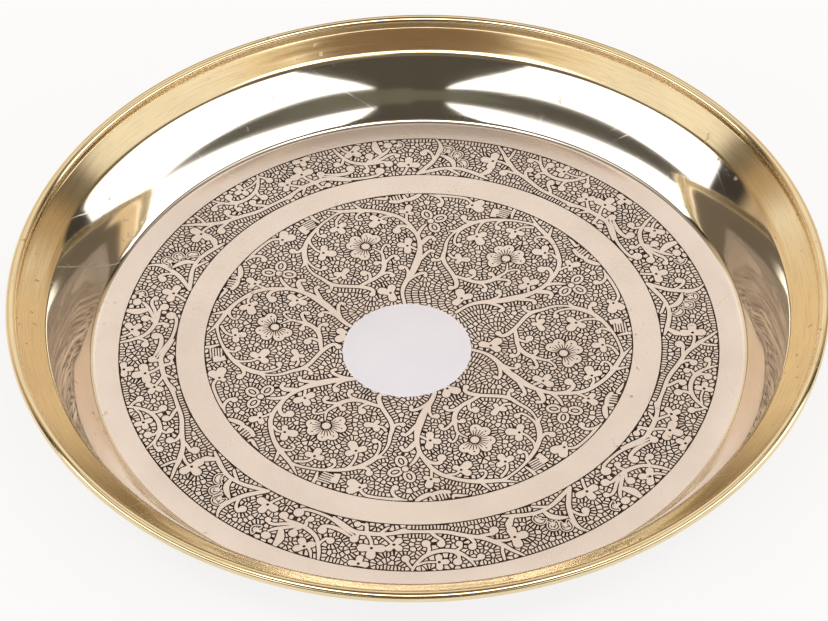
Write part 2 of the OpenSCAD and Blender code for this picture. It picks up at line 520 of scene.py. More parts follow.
@dataclass
class Piece:
    """A finished piece, on its way from a bmesh in millimetres to the frame."""

    name: str
    material: bpy.types.Material
    slot: Slot
    stands_for: tuple[str, ...] = ()
    sharp_angle: float = 28.0
    body: str = "root"

    def deliver(self, bm: bmesh.types.BMesh) -> bpy.types.Object:
        """Scales a bmesh to metres, makes it an object and lets it ride on the tray.

        Args:
            bm: The mesh, in millimetres. It is used up.

        Returns:
            The object.
        """
        bmesh.ops.scale(bm, vec=(MM, MM, MM), verts=bm.verts)
        limit = math.radians(self.sharp_angle)
        for face in bm.faces:
            face.smooth = True
        for edge in bm.edges:
            edge.smooth = edge.calc_face_angle(0.0) < limit
        made = mesh_object(self.name, bm, self.material)
        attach(made, self.body)
        if self.stands_for:
            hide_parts(*self.stands_for)
        LOG.info("%s: %d faces", self.name, len(made.data.polygons))
        return made


class Step(NamedTuple):
    """A point of a walked line: across, up and the heading there, in degrees."""

    across: float
    up: float
    heading: float

    def beside(self, distance: float) -> Step:
        """Gives the point at a distance to the right of the heading."""
        turn = math.radians(self.heading)
        across = self.across + distance * math.sin(turn)
        return Step(across, self.up - distance * math.cos(turn), self.heading)


class Walk:
    """A line drawn by walking straight runs and round bends."""

    def __init__(self, across: float, up: float) -> None:
        """Starts level at a point."""
        self.steps = [Step(across, up, 0.0)]

    def ahead(self, length: float) -> Walk:
        """Walks straight on for a length."""
        last = self.steps[-1]
        turn = math.radians(last.heading)
        across = last.across + length * math.cos(turn)
        self.steps.append(Step(across, last.up + length * math.sin(turn), last.heading))
        return self

    def bend(self, radius: float, degrees: float, cuts: int) -> Walk:
        """Walks along an arc.

        Args:
            radius: The arc's radius.
            degrees: The angle that it turns by, to the left where positive.
            cuts: How many chords it is drawn with.

        Returns:
            This walk.
        """
        start = self.steps[-1]
        reach = math.copysign(radius, degrees)
        middle = start.beside(-reach)
        for i in range(1, cuts + 1):
            heading = start.heading + degrees * i / cuts
            self.steps.append(Step(middle.across, middle.up, heading).beside(reach))
        return self


@dataclass(frozen=True)
class Field:
    """An etched disc or ring of the floor: where it lies and how its ornament repeats."""

    inner: float
    outer: float
    repeats: int
    first_turn: float
    seed: int

    @property
    def pitch(self) -> float:
        """The turn from one repeat to the next, in degrees."""
        return FULL_TURN / self.repeats


@dataclass
class SpunPlate:
    """The sheet: floor, wall, shoulder, flared band and curled rim, in one piece."""

    fields: tuple[Field, ...]
    thickness: float = 0.8
    floor_radius: float = 101.5
    corner: tuple[float, float, int] = (2.5, 57.0, 18)
    hollow: tuple[float, float, int] = (135.0, 3.4, 6)
    swell: tuple[float, float, int] = (124.8, -5.98, 14)
    shoulder: tuple[float, float, int] = (6.0, -25.42, 12)
    band_run: float = 7.54
    band_share: float = 0.4
    crease: tuple[float, float, int] = (0.5, 61.0, 8)
    bead_rise: float = 1.4
    bead: tuple[float, float, int] = (1.7, -285.0, 40)
    etch_depth: float = 0.3
    hold: float = 0.25
    segments: int = 288

    def floor_line(self) -> list[tuple[float, float]]:
        """Draws the floor's upper line, let down where it is etched."""
        top = self.thickness
        low = top - self.etch_depth
        line = []
        for field in self.fields:
            if field.inner > 0.0:
                line.append((field.inner, top))
            line += [(field.inner, low), (field.outer, low), (field.outer, top)]
        return line

    def outline(self) -> list[tuple[float, float]]:
        """Draws the sheet's section, from the centre of the floor out to the bead and back."""
        walk = Walk(self.floor_radius - self.hold, self.thickness).ahead(self.hold)
        for bend in (self.corner, self.hollow, self.swell, self.shoulder):
            walk.bend(*bend)
        part = self.band_share * self.band_run
        walk.ahead(self.hold).ahead(part).ahead(part).ahead(self.band_run - 2 * part - self.hold)
        walk.bend(*self.crease).ahead(self.bead_rise).bend(*self.bead)
        upper = [(s.across, s.up) for s in walk.steps]
        lower = [(s.across, s.up) for s in (step.beside(self.thickness) for step in reversed(walk.steps))]
        return self.floor_line() + upper + lower + [(0.0, 0.0)]

    def build(self, finishes: Finishes) -> bpy.types.Object:
        """Spins the section into the sheet.

        Args:
            finishes: The shared materials.

        Returns:
            The plate.
        """
        bm = spun(self.outline(), self.segments)
        return Piece("spun_plate", finishes.brass, Slot.BRASS, ("plate",)).deliver(bm)


@dataclass
class EnamelGround:
    """The black fill in one etched field."""

    name: str
    node: str
    field: Field
    floor: float = 0.5
    depth: float = 0.18
    segments: int = 192

    def build(self, finishes: Finishes) -> bpy.types.Object:
        """Spins the fill's section.

        Args:
            finishes: The shared materials.

        Returns:
            The fill.
        """
        inner, outer, top = self.field.inner, self.field.outer, self.floor + self.depth
        corners = ((inner, self.floor), (outer, self.floor), (outer, top), (inner, top))
        bm = spun(corners, self.segments)
        return Piece(self.name, finishes.enamel, Slot.ENAMEL, (self.node,)).deliver(bm)


class Coat(IntEnum):
    """What shows at a place of an etched field. A later coat lies over an earlier one."""

    GROUND = 0
    CELL = 1
    HALO = 2
    FIGURE = 3
    CUT = 4
    INLAY = 5

    @classmethod
    def brass(cls) -> tuple[Coat, ...]:
        """Lists the coats that are left standing in brass."""
        return (cls.CELL, cls.FIGURE, cls.INLAY)


@dataclass(frozen=True)
class Shape:
    """A closed outline on the floor and the coat that it lays."""

    coat: Coat
    outline: np.ndarray

    def turned(self, degrees: float) -> Shape:
        """Turns the shape about the tray's centre."""
        return Shape(self.coat, turned(self.outline, degrees))

    def covers(self, points: np.ndarray) -> np.ndarray:
        """Tells which points lie in the shape, by the winding of its outline.

        Args:
            points: Rows of places.

        Returns:
            A mask over the points.
        """
        low, high = self.outline.min(0), self.outline.max(0)
        near = np.flatnonzero(((points >= low) & (points <= high)).all(1))
        x, y = points[near].T[:, :, None]
        ax, ay = self.outline.T
        bx, by = np.roll(self.outline, -1, 0).T
        side = (bx - ax) * (y - ay) - (x - ax) * (by - ay)
        rising = (ay <= y) & (by > y) & (side > 0.0)
        falling = (ay > y) & (by <= y) & (side < 0.0)
        mask = np.zeros(len(points), bool)
        mask[near] = rising.sum(1) != falling.sum(1)
        return mask


def turned(points: np.ndarray, degrees: float) -> np.ndarray:
    """Turns rows of places about the centre.

    Args:
        points: Rows of places.
        degrees: The turn, anticlockwise.

    Returns:
        The turned places.
    """
    turn = math.radians(degrees)
    cos, sin = math.cos(turn), math.sin(turn)
    return points @ np.array([[cos, sin], [-sin, cos]])


def directions(turns: np.ndarray) -> np.ndarray:
    """Gives rows of places at 1 from the centre, at turns in radians."""
    return np.stack([np.cos(turns), np.sin(turns)], 1)


def circle(count: int) -> np.ndarray:
    """Gives a number of places evenly around the centre, at 1 from it."""
    return directions(np.arange(count) * 2.0 * math.pi / count)


def direction(degrees: float) -> np.ndarray:
    """Gives the place at 1 from the centre, at one turn."""
    turn = math.radians(degrees)
    return np.array([math.cos(turn), math.sin(turn)])


def double_area(outline: np.ndarray) -> float:
    """Gives twice an outline's area, above 0 where it runs anticlockwise."""
    after = np.roll(outline, -1, 0)
    return float((outline[:, 0] * after[:, 1] - outline[:, 1] * after[:, 0]).sum())


def smooth(places: np.ndarray, cuts: int) -> np.ndarray:
    """Draws a smooth curve through rows of numbers.

    Args:
        places: The rows that it passes through.
        cuts: Rows to each span.

    Returns:
        The rows along the curve.
    """
    ends = 2.0 * places[[0, -1]] - places[[1, -2]]
    p = np.vstack([ends[:1], places, ends[1:]])
    a, b, c, d = (p[i:len(p) - 3 + i, None] for i in range(4))
    t = (np.arange(cuts) / cuts)[:, None]
    curve = 2 * b + (c - a) * t + (2 * a - 5 * b + 4 * c - d) * t**2 + (3 * b - a - 3 * c + d) * t**3
    return np.vstack([0.5 * curve.reshape(-1, places.shape[1]), places[-1:]])


def ribbon(places: np.ndarray, grow: float) -> np.ndarray:
    """Outlines a stem, with rounded ends.

    Args:
        places: Rows of across, out and width.
        grow: How far the outline is moved outwards.

    Returns:
        The outline.
    """
    points, half = places[:, :2], (places[:, 2:] / 2.0 + grow)
    along = np.gradient(points, axis=0)
    along /= np.linalg.norm(along, axis=1, keepdims=True)
    aside = along[:, ::-1] * (-1.0, 1.0)
    caps = []
    for end, sign in ((-1, 1.0), (0, -1.0)):
        for turn in (50.0, 0.0, -50.0):
            lean = math.radians(turn)
            spoke = along[end] * math.cos(lean) + aside[end] * math.sin(lean)
            caps.append(points[end] + sign * half[end] * spoke)
    sides = points + aside * half, (points - aside * half)[::-1]
    return np.vstack([sides[0], caps[:3], sides[1], caps[3:]])


def oval(centre: Sequence[float], size: Span, turn: float = 0.0, cuts: int = 14) -> np.ndarray:
    """Outlines an oval.

    Args:
        centre: Its centre.
        size: Its length and width.
        turn: The direction of its length, in degrees.
        cuts: Sides of the outline.

    Returns:
        The outline.
    """
    return turned(circle(cuts) * size / 2.0, turn) + centre


def grown(outline: np.ndarray, distance: float) -> np.ndarray:
    """Moves an outline outwards, or inwards where the distance is negative.

    Args:
        outline: The outline.
        distance: How far each side moves.

    Returns:
        The new outline, anticlockwise.
    """
    if double_area(outline) < 0.0:
        outline = outline[::-1]
    sides = np.roll(outline, -1, 0) - outline
    lengths = np.linalg.norm(sides, axis=1, keepdims=True)
    long = lengths[:, 0] > 1e-6
    outline, sides = outline[long], (sides / np.maximum(lengths, 1e-9))[long]
    out = sides[:, ::-1] * (1.0, -1.0)
    both = out + np.roll(out, 1, 0)
    reach = np.maximum((both**2).sum(1, keepdims=True) / 2.0, 0.5)
    return outline + distance * both / reach


class Drawing:
    """The figures of one repeat of an etched field, with +Y out from the tray's centre."""

    halo = 0.42
    curve_cuts = 4
    lobe_share = 0.34
    petal_edge = ((-42, 3.2), (-43, 5.4), (-39, 7.6), (-29, 9.1), (-15, 9.4), (-5, 8.7), (0, 8.2))
    petal_cuts = 3
    veins = ((-31.0, 5.6), (-15.5, 6.3), (0.0, 6.3), (15.5, 6.3), (31.0, 5.6))
    floret_reach = 4.9
    floret_rings = ((Coat.CUT, (4.5, 2.8)), (Coat.INLAY, (3.0, 1.3)))

    def __init__(self, unit: float) -> None:
        """Starts a drawing whose widths are given in a unit of so many millimetres."""
        self.unit = unit
        self.shapes: list[Shape] = []

    def placed(self, places: Iterable[Place]) -> np.ndarray:
        """Turns rows of across, out and width into millimetres."""
        return np.array(tuple(places), float) * self.unit

    def lay(self, coat: Coat, outline: np.ndarray) -> None:
        """Lays a coat over the places in an outline."""
        self.shapes.append(Shape(coat, outline))

    def put(self, outline: np.ndarray) -> None:
        """Lays a brass figure with the dark line around it."""
        self.lay(Coat.HALO, grown(outline, self.halo))
        self.lay(Coat.FIGURE, outline)

    def strand(self, rows: np.ndarray) -> None:
        """Lays a brass strand, through rows in millimetres, with the dark line around it."""
        self.lay(Coat.HALO, ribbon(rows, self.halo))
        self.lay(Coat.FIGURE, ribbon(rows, 0.0))

    def stem(self, *places: Place) -> None:
        """Draws a stem, or a leaf that is wide at its end, through places that each have a width."""
        self.strand(smooth(self.placed(places), self.curve_cuts))

    def curl(self, *places: Place) -> None:
        """Draws a stem that ends in a ball, whose radius stands for the last width."""
        x, y, _ = places[-1]
        self.stem(*places[:-1], (x, y, places[-2][2]))
        x, y, radius = self.placed([places[-1]])[0]
        self.put(oval((x, y), (2.0 * radius, 2.0 * radius), cuts=12))

    def petals(self, line: float, *petals: Sequence[Place]) -> None:
        """Draws petals that have a dark line inside their edge.

        Args:
            line: How far inside the edge the line starts, and how wide it is.
            *petals: The places that each petal passes through, with its widths there.
        """
        for places in petals:
            outline = ribbon(smooth(self.placed(places), self.curve_cuts), 0.0)
            self.put(outline)
            self.lay(Coat.CUT, grown(outline, -line))
            self.lay(Coat.INLAY, grown(outline, -2.0 * line))

    def lobe(self, root: np.ndarray, tip: np.ndarray) -> None:
        """Draws one lobe between two places in millimetres."""
        width = 2.0 * self.lobe_share * float(np.linalg.norm(tip - root)) / (1.0 - self.lobe_share)
        self.strand(np.array([(*root, 0.75 * width), (*(root + tip) / 2.0, 0.85 * width), (*tip, width)]))

    def trefoil(self, centre: Span, *tips: Span, dot: float = 0.95) -> None:
        """Draws lobes from a centre, with a dark dot.

        Args:
            centre: The centre's place.
            *tips: The middles of the lobes' round ends.
            dot: The dot's width in millimetres, or 0 for none.
        """
        root, *ends = self.placed((*place, 0.0) for place in (centre, *tips))[:, :2]
        for tip in ends:
            self.lobe(root, tip)
        if dot > 0.0:
            self.lay(Coat.CUT, oval(root, (dot, dot), cuts=8))

    def flower(self, x: float, y: float) -> None:
        """Draws the large flower: three notched petals with veins and dots, around an eye.

        Args:
            x: Its centre, across.
            y: Its centre, outwards.
        """
        unit = self.unit
        centre = np.array([x, y]) * unit
        half = self.petal_edge
        whole = half + tuple((-turn, reach) for turn, reach in half[-2::-1])
        edge = smooth(np.array(whole, float), self.petal_cuts)
        for petal in (45.0, 135.0, 225.0):
            self.put(centre + directions(np.radians(edge[:, 0] + petal)) * edge[:, 1:] * unit)
            for turn, end in self.veins:
                ray = direction(petal + turn) * unit
                vein = np.array([(*(centre + ray * 2.4), 0.38), (*(centre + ray * end), 0.26)])
                self.lay(Coat.CUT, ribbon(vein, 0.0))
            for turn in (-21.0, 21.0):
                self.lay(Coat.CUT, oval(centre + direction(petal + turn) * 7.2 * unit, (0.62, 0.62), cuts=8))
        self.lay(Coat.CUT, oval(centre, (5.4 * unit, 5.4 * unit), cuts=20))
        self.lay(Coat.INLAY, oval(centre, (4.0 * unit, 4.0 * unit), cuts=18))

    def floret(self, x: float, y: float) -> None:
        """Draws the small flower: three ringed oval petals around an eye.

        Args:
            x: Its centre, across.
            y: Its centre, outwards.
        """
        unit = self.unit
        centre = np.array([x, y])
        for turn in (0.0, 90.0, 270.0):
            middle = (centre + self.floret_reach * direction(turn)) * unit
            self.put(oval(middle, (7.2 * unit, 5.5 * unit), turn))
            for coat, (length, width) in self.floret_rings:
                self.lay(coat, oval(middle, (length * unit, width * unit), turn))
        self.lay(Coat.CUT, oval(centre * unit, (4.3 * unit, 4.3 * unit)))
        self.lay(Coat.INLAY, oval(centre * unit, (3.1 * unit, 3.1 * unit)))


class MedallionDrawing(Drawing):
    """One sixth of the medallion, in hundredths of its radius."""

    def __init__(self, field: Field) -> None:
        """Draws the repeat for a round field."""
        super().__init__(field.outer / 100.0)
        self.scroll()
        self.curls()
        self.blossoms()
        self.edge_motifs()

    def scroll(self) -> None:
        """Draws the main stem, the arc that it throws back, and the stems of the blossoms."""
        self.stem((3, 25, 1.6), (4.2, 30.5, 1.6), (6, 34.5, 2), (9.5, 38.6, 2.4), (14.4, 43.2, 3),
                  (18.6, 48.3, 3.6), (21.8, 53, 3), (24.3, 58.4, 2.2), (25.7, 64.3, 2), (25.5, 70, 1.9),
                  (24.5, 75.8, 2), (22.3, 80.8, 2.1), (18.7, 84.7, 2.1), (14.2, 88.5, 1.9),
                  (8.6, 91.6, 2.4), (3.4, 93.5, 2.2), (-1.5, 95.2, 1.9), (-8, 98.8, 0.5))
        self.stem((-1, 95.1, 1.8), (-4.4, 94.7, 1.4), (-9.1, 93, 1.2), (-13.9, 90.7, 1.3),
                  (-18.7, 87.5, 1.7), (-22.7, 84.2, 2), (-25.6, 81, 2.2), (-27.8, 77.5, 2.3),
                  (-29.4, 73.4, 2.6), (-30.4, 69.2, 2.2), (-33.9, 66.2, 0.5))
        self.curl((-30, 71.2, 1.8), (-30.7, 67, 1.1), (-30.5, 63, 1.2), (-29.2, 59, 1.5),
                  (-27, 55.3, 1.7), (-24.8, 50.8, 2.1), (-21.5, 48, 2), (-17.4, 45.9, 1.9),
                  (-12.8, 43.6, 2), (-8.9, 40.8, 2.2), (-7.6, 38.2, 1.9), (-8.9, 36.4, 1.5))
        self.stem((-12.5, 43.8, 1.6), (-7.5, 45.1, 2), (-2.3, 46.5, 2), (1.8, 49.6, 2.2),
                  (3.9, 53.4, 2.4), (4.9, 57.4, 1.6), (5.5, 60.4, 1.3), (4.4, 63.1, 1), (2.6, 65.6, 0.6))
        self.stem((25.8, 64.5, 1.4), (27.4, 67.1, 1.8), (30, 69.5, 1.6), (32.6, 71, 1))
        self.stem((7, 93.5, 1.6), (5.9, 96, 1.4), (4.9, 98.8, 0.5))
        self.stem((-56.8, 80.8, 0.5), (-52.5, 83.6, 1.4), (-48.5, 86, 1.4), (-44, 88.4, 1.4),
                  (-40, 89.8, 1.5), (-36.5, 88.9, 1.3), (-34, 88, 1.2))
        self.stem((-2.5, 93, 1.4), (-4.9, 91.5, 1.4), (-6.8, 89.6, 1.3), (-7.7, 87.2, 1.3))
        self.stem((20.1, 83, 1.4), (18.7, 83, 1.4), (15.8, 83.7, 1.3), (13.4, 82.8, 1.2))
        self.stem((24.9, 77.2, 1.3), (25.8, 79.6, 1.3), (27, 82, 1.2))
        self.stem((21.5, 56.8, 1.4), (20.1, 59.1, 1.3), (18.9, 60.4, 1.2))
        self.stem((-23.4, 83, 1.4), (-23.9, 80.1, 1.3), (-23.4, 77.2, 1.3), (-22.5, 74.4, 1.3),
                  (-20.6, 72, 1.2))
        self.stem((-23.4, 53.9, 1.4), (-21, 53.2, 1.3), (-19.1, 53.9, 1.3), (-17.4, 54.3, 1.2))

    def curls(self) -> None:
        """Draws the curls that spring from the stems."""
        self.curl((3.6, 53, 1.6), (5.6, 54.6, 1.5), (7.7, 56, 1.5), (9.8, 56.8, 1.6), (11.2, 55.9, 1.6),
                  (10.9, 54.4, 1.35))
        self.curl((3.6, 52.6, 1.4), (3, 54.3, 1.3), (2, 55.3, 1.4), (0.6, 55.2, 1.5))
        self.curl((5.2, 60.2, 1), (6.2, 62.4, 1.1), (7.8, 64.4, 1.1), (9.3, 65.3, 1.2), (10.4, 64.7, 1.2),
                  (10.5, 63.7, 0.95))
        self.curl((-1, 46.8, 1.6), (2, 47.4, 1.5), (4.4, 46.4, 1.6), (4.6, 44.6, 1.45))
        self.curl((-6.5, 45.8, 1.5), (-5.4, 48.2, 1.4), (-5.3, 50.4, 1.5), (-7.4, 51.2, 1.9))
        self.curl((-24.6, 51, 1.8), (-24.9, 48.6, 1.6), (-25.8, 47, 1.5), (-27.3, 46.4, 1.3))
        self.curl((-17, 88.2, 1.4), (-18, 85.8, 1.3), (-17.9, 83.6, 1.3), (-15.9, 82.6, 1.5))
        self.curl((-27.6, 78.8, 1.8), (-29.8, 77.4, 1.7), (-31.8, 77.1, 1.8), (-33.5, 78.6, 1.7))
        self.curl((-29.6, 70.5, 1.4), (-28.9, 66.8, 1.2), (-27.6, 63.6, 1.2), (-25.6, 61.3, 1.3),
                  (-23.4, 61.9, 1.5))
        self.curl((25.5, 67.5, 1.6), (24.4, 71.4, 1.6), (22.3, 74, 1.9), (19.6, 74.6, 2.2),
                  (17.9, 72.3, 2.1))
        self.curl((11.4, 41.3, 1.8), (12.5, 44.6, 1.4), (12.3, 47.4, 1.4), (10.5, 47.9, 1.6))
        self.curl((9.5, 38.2, 1.6), (13.2, 39.8, 1.6), (17.4, 40.6, 1.7), (19.6, 39.8, 1.7), (19, 38.2, 1))
        self.curl((19.8, 49, 2), (22.8, 50.7, 1.8), (25.9, 52.6, 1.8), (28, 53.2, 1.6), (28.7, 52.2, 1.1))
        self.curl((24.2, 58.6, 2), (26.6, 60, 2.6), (29.6, 61.8, 2.4), (31.9, 61.6, 1.8), (32.3, 59.6, 1.1))
        self.curl((8.2, 91.2, 1.6), (5.3, 90.6, 1.3), (3.1, 88.6, 1.2), (3.4, 86.7, 1.2), (4.9, 86.3, 0.9))
        self.curl((42, 89.7, 0.6), (44.8, 87.3, 1.5), (46, 84.2, 1.6), (45.4, 81.6, 1.8), (43.8, 80.9, 1.6))

    def blossoms(self) -> None:
        """Draws the flower, the floret and the trefoils."""
        self.flower(0.0, 68.0)
        self.floret(35.5, 72.2)
        self.trefoil((-20.3, 71.7), (-18.7, 74.9), (-16.5, 69.6), (-22.2, 68.7))
        self.trefoil((-7.5, 85.5), (-10.6, 84.6), (-4.4, 86.3), (-6.8, 82))
        self.trefoil((12.6, 82.4), (10.6, 85.3), (8.7, 80.6), (14.4, 80.1))
        self.trefoil((27.2, 82.4), (24.9, 84.1), (29.4, 85.3), (28.9, 80.6))
        self.trefoil((18.7, 60.6), (15.8, 62.5), (20.6, 63.9), (17.5, 57.2))
        self.trefoil((-17, 54.4), (-19.6, 55.8), (-14.4, 56.3), (-17, 52), dot=0)
        self.trefoil((-35.4, 87.8), (-33.2, 91.5), (-30.8, 87.7), (-36.5, 85.6))
        self.trefoil((-0.6, 33.9), (-3.9, 36.8), (1.3, 37.2), (-1, 30))

    def edge_motifs(self) -> None:
        """Draws the fan and the half flower that the rim of the medallion cuts."""
        fan = ((-26, 92.3), (-22.8, 93.4), (-21.8, 91.2), (-22.3, 89.6), (-21, 88.2), (-23.8, 86.6),
               (-25, 89.3))
        self.put(self.placed((*place, 0.0) for place in fan)[:, :2])
        for i in range(5):
            share = i / 4.0
            start = (-23.0 + 1.4 * share, 94.2 - 4.8 * share, 0.7)
            self.stem(start, (-17.4 + 0.4 * share, 95.6 - 5.2 * share, 0.75))
        self.stem((-17, 98.3, 1.6), (-16.1, 95, 1.6), (-14.7, 92.2, 1))
        self.stem((22.6, 92.5, 2), (25.5, 91, 2), (29, 90.8, 2))
        for x in (23.2, 24.8, 26.3, 27.8):
            self.stem((x, 91.6, 0.9), (x + 0.3, 95.2, 0.8))
        self.stem((30, 93.8, 1.4), (30.6, 90.6, 2), (34, 90.6, 2.6), (37.6, 91.6, 1.8), (38.2, 92.8, 0.8))
        self.stem((15.6, 97.4, 0.5), (18.6, 96.4, 1.5), (21.4, 95.2, 1.6), (22.2, 96.4, 1))


class BorderDrawing(Drawing):
    """One fifth of the border: hundredths along the repeat, and of the border's width out."""

    def __init__(self, field: Field) -> None:
        """Draws the repeat for a field between two radii."""
        super().__init__((field.outer - field.inner) / 100.0)
        self.field = field
        self.scroll()
        self.wave()
        self.sprays()
        self.blossoms()
        self.fan_flower()

    def placed(self, places: Iterable[Place]) -> np.ndarray:
        """Bends rows of along, out and width around the border, in millimetres."""
        along, out, width = np.array(tuple(places), float).T
        turn = np.radians(90.0 + self.field.pitch * (0.5 - along / 100.0))
        radius = self.field.inner + out * self.unit
        return np.column_stack([radius[:, None] * directions(turn), width * self.unit])

    def leafed(self, along: float, out: float, stem_turn: float, reach: float) -> None:
        """Draws a trefoil from the direction of its stem.

        Args:
            along: Its centre, along the repeat.
            out: Its centre, outwards.
            stem_turn: The direction that the stem comes from.
            reach: How far its lobes reach, in hundredths of the border's width.
        """
        x, y, size = self.placed([(along, out, reach)])[0]
        root = np.array([x, y])
        outward = math.degrees(math.atan2(y, x)) - 90.0
        for turn in (90.0, 180.0, 270.0):
            tip = root + size * (1.0 - self.lobe_share) * direction(outward + stem_turn + turn)
            self.lobe(root, tip)
        self.lay(Coat.CUT, oval(root, (1.0, 1.0), cuts=8))

    def scroll(self) -> None:
        """Draws the stem that climbs at the start of the repeat and its loop."""
        self.stem((1.2, 4, 7), (3.6, 19, 8), (5.6, 34, 8.5), (6.9, 50, 8), (7.6, 64, 8), (7.9, 78, 7.5),
                  (7.3, 90, 5), (6.4, 98, 3))
        self.curl((6.2, 44, 6), (5.6, 55, 5), (4.7, 63.5, 6), (3.4, 67, 7), (2.9, 59.5, 7))
        self.stem((1.8, 5, 5), (5.5, 12, 8), (9.6, 19.5, 7), (14, 22.6, 7), (17.8, 19.5, 7.5),
                  (21.4, 13.6, 8), (25.2, 6.5, 4))
        self.stem((11, 19.5, 4), (12.8, 15, 5), (14.8, 9, 5), (15.4, 6, 3))
        self.stem((22.2, 13, 6), (23.4, 19, 9), (24.4, 26, 12), (24.9, 31, 9))

    def wave(self) -> None:
        """Draws the long stem across the repeat, with its curls."""
        self.stem((24, 101, 2), (25.4, 90, 5), (26.9, 79, 6), (28.2, 68, 8), (29.9, 57.5, 8.5),
                  (31.8, 47, 8), (34, 39.5, 7.5), (36.7, 33.5, 8), (39.3, 27.3, 8), (42, 21, 7.5),
                  (45.2, 17, 7), (49, 15.8, 6.5), (52.5, 15.2, 6), (55.8, 15.5, 9))
        self.stem((28.6, 66, 6), (29.2, 76, 5), (29.4, 86, 5), (29.5, 95, 4))
        self.curl((34, 37.6, 6), (31.6, 37, 6), (30, 37.5, 7), (29.3, 31, 8))
        self.curl((37.6, 32, 6), (36.2, 42, 6), (35.8, 51, 6), (36.6, 56.5, 7))
        self.curl((47.6, 17, 6), (46.6, 25, 6), (45, 33.5, 6), (44.4, 40, 6), (45, 43.5, 7))
        self.stem((55.6, 14, 11), (59, 20.5, 7), (62.4, 24.2, 8), (66.4, 25.8, 9), (69.6, 26.4, 8),
                  (72, 21.5, 7.5), (74.8, 13.5, 7), (77.8, 5.5, 4))
        self.stem((62.6, 22, 4.5), (61.4, 14.5, 5), (60.4, 8, 3))
        self.stem((66.6, 24, 7), (66.9, 15, 6.5), (67.3, 6.5, 6))
        self.curl((67.2, 9, 5), (68.8, 8, 4), (70, 9.5, 6))
        self.curl((69.3, 27, 6), (69, 34, 6), (69.6, 41.5, 7.5))
        self.stem((66.4, 27, 6), (65, 38, 5.5), (64.4, 47, 5.5), (64.1, 55, 5))
        self.stem((62.4, 25, 5.5), (60.8, 31, 5.5), (59.3, 39, 5), (58.3, 44, 5))
        self.stem((30.2, 53, 5), (26.9, 57.6, 5), (24.6, 55.5, 5))

    def sprays(self) -> None:
        """Draws the two sprays that spring from the border's outer edge."""
        self.stem((37, 98, 3), (37.9, 85, 5), (39.2, 73, 6), (41.2, 63, 8), (44, 58, 7.5),
                  (47, 59.5, 7.5), (49.6, 67.5, 7), (51.2, 78, 6), (52.3, 88, 5), (52.9, 97, 4))
        self.curl((38.6, 78, 5), (37.4, 82.5, 5), (36, 84, 5), (35.1, 80, 6.5))
        self.curl((41.6, 61, 5), (40.2, 57, 5), (39.6, 52, 5), (40, 46.5, 6))
        self.curl((48.9, 63.5, 6), (48.4, 54, 5.5), (48.6, 46, 6), (49.2, 41, 7.5))
        self.curl((41.8, 62.5, 5), (40.8, 71, 5), (40.8, 78, 6), (41.3, 84, 7.5))
        self.stem((51.6, 86, 4), (49.6, 81, 4), (47.6, 80.5, 4), (46, 81.5, 4))
        self.curl((53, 92, 4), (53.7, 86, 5), (54.4, 78, 6), (54.7, 73, 7))
        self.curl((71, 37.5, 4), (73, 32, 6), (75.6, 27, 8), (78.4, 27, 7), (79.9, 31, 6), (79.3, 37.5, 8))
        self.curl((70, 34, 3), (72.6, 26.5, 5), (75.4, 17.5, 5.5), (78.4, 9.5, 5.5), (81.6, 6.2, 5.5),
                  (85, 5.6, 5.5), (87.6, 8.6, 6), (88.4, 18, 9))
        self.curl((76.7, 99, 4), (77.4, 83, 6), (78.5, 68, 6.5), (79.8, 56, 7), (81.9, 47.5, 7.5),
                  (84.3, 42.4, 8), (87.4, 40.2, 6.5), (90.2, 41, 6), (91.8, 34.5, 8))
        self.stem((84.6, 42, 5), (86.8, 46.8, 6), (89.3, 56.5, 6.5), (91.4, 66, 6.5), (92.6, 75, 4))
        self.curl((87.6, 44, 5), (90, 49.5, 6), (92.3, 58, 6), (94, 59.5, 5.5), (94.8, 55, 5.5))
        self.curl((84.3, 42, 6), (84.5, 34, 6), (84.8, 27, 5.5), (84, 22.5, 6))
        self.curl((78.4, 67, 5), (77.8, 58, 5), (77, 52, 5.5), (75.8, 54.5, 7))
        self.stem((78.6, 99, 3), (79.6, 86, 5), (80.8, 79.5, 4.5), (81.7, 80, 4))
        self.stem((96.1, 4, 5), (97.2, 15, 5), (98.1, 28.5, 5))

    def blossoms(self) -> None:
        """Draws the trefoils, the leaf, the pebble and the two loose petals."""
        for trefoil in ((24.6, 55.5, 0, 24), (46, 81.5, 0, 17), (58.2, 44, -40, 18), (64.2, 55.5, -85, 24),
                        (66.6, 91, 90, 18), (81.7, 80, 130, 20), (98.1, 28.5, 265, 22)):
            self.leafed(*trefoil)
        self.stem((88.7, 95, 9), (88.7, 80, 14), (89.6, 66, 10))
        self.curl((85.2, 47, 4), (86.6, 54, 5), (86.3, 61.5, 8))
        self.stem((92.2, 85, 15), (92.6, 85, 15))
        self.petals(0.42, ((95.8, 92, 7), (96.3, 82, 13), (95.2, 74, 8)))

    def fan_flower(self) -> None:
        """Draws the fan of ringed petals beside the first stem."""
        self.stem((8.4, 55, 4), (10.4, 49, 9), (12.2, 40, 10), (13, 28, 7))
        self.petals(
            0.36,
            ((8.9, 62, 8), (9.9, 74, 17), (11.2, 72, 13), (11, 58, 6)),
            ((11.9, 54, 7), (12.9, 63, 15), (14.1, 60, 14), (13.9, 49, 6)),
            ((14, 42, 6), (15.4, 42, 16), (16.4, 34, 15), (16.2, 27, 7)),
        )


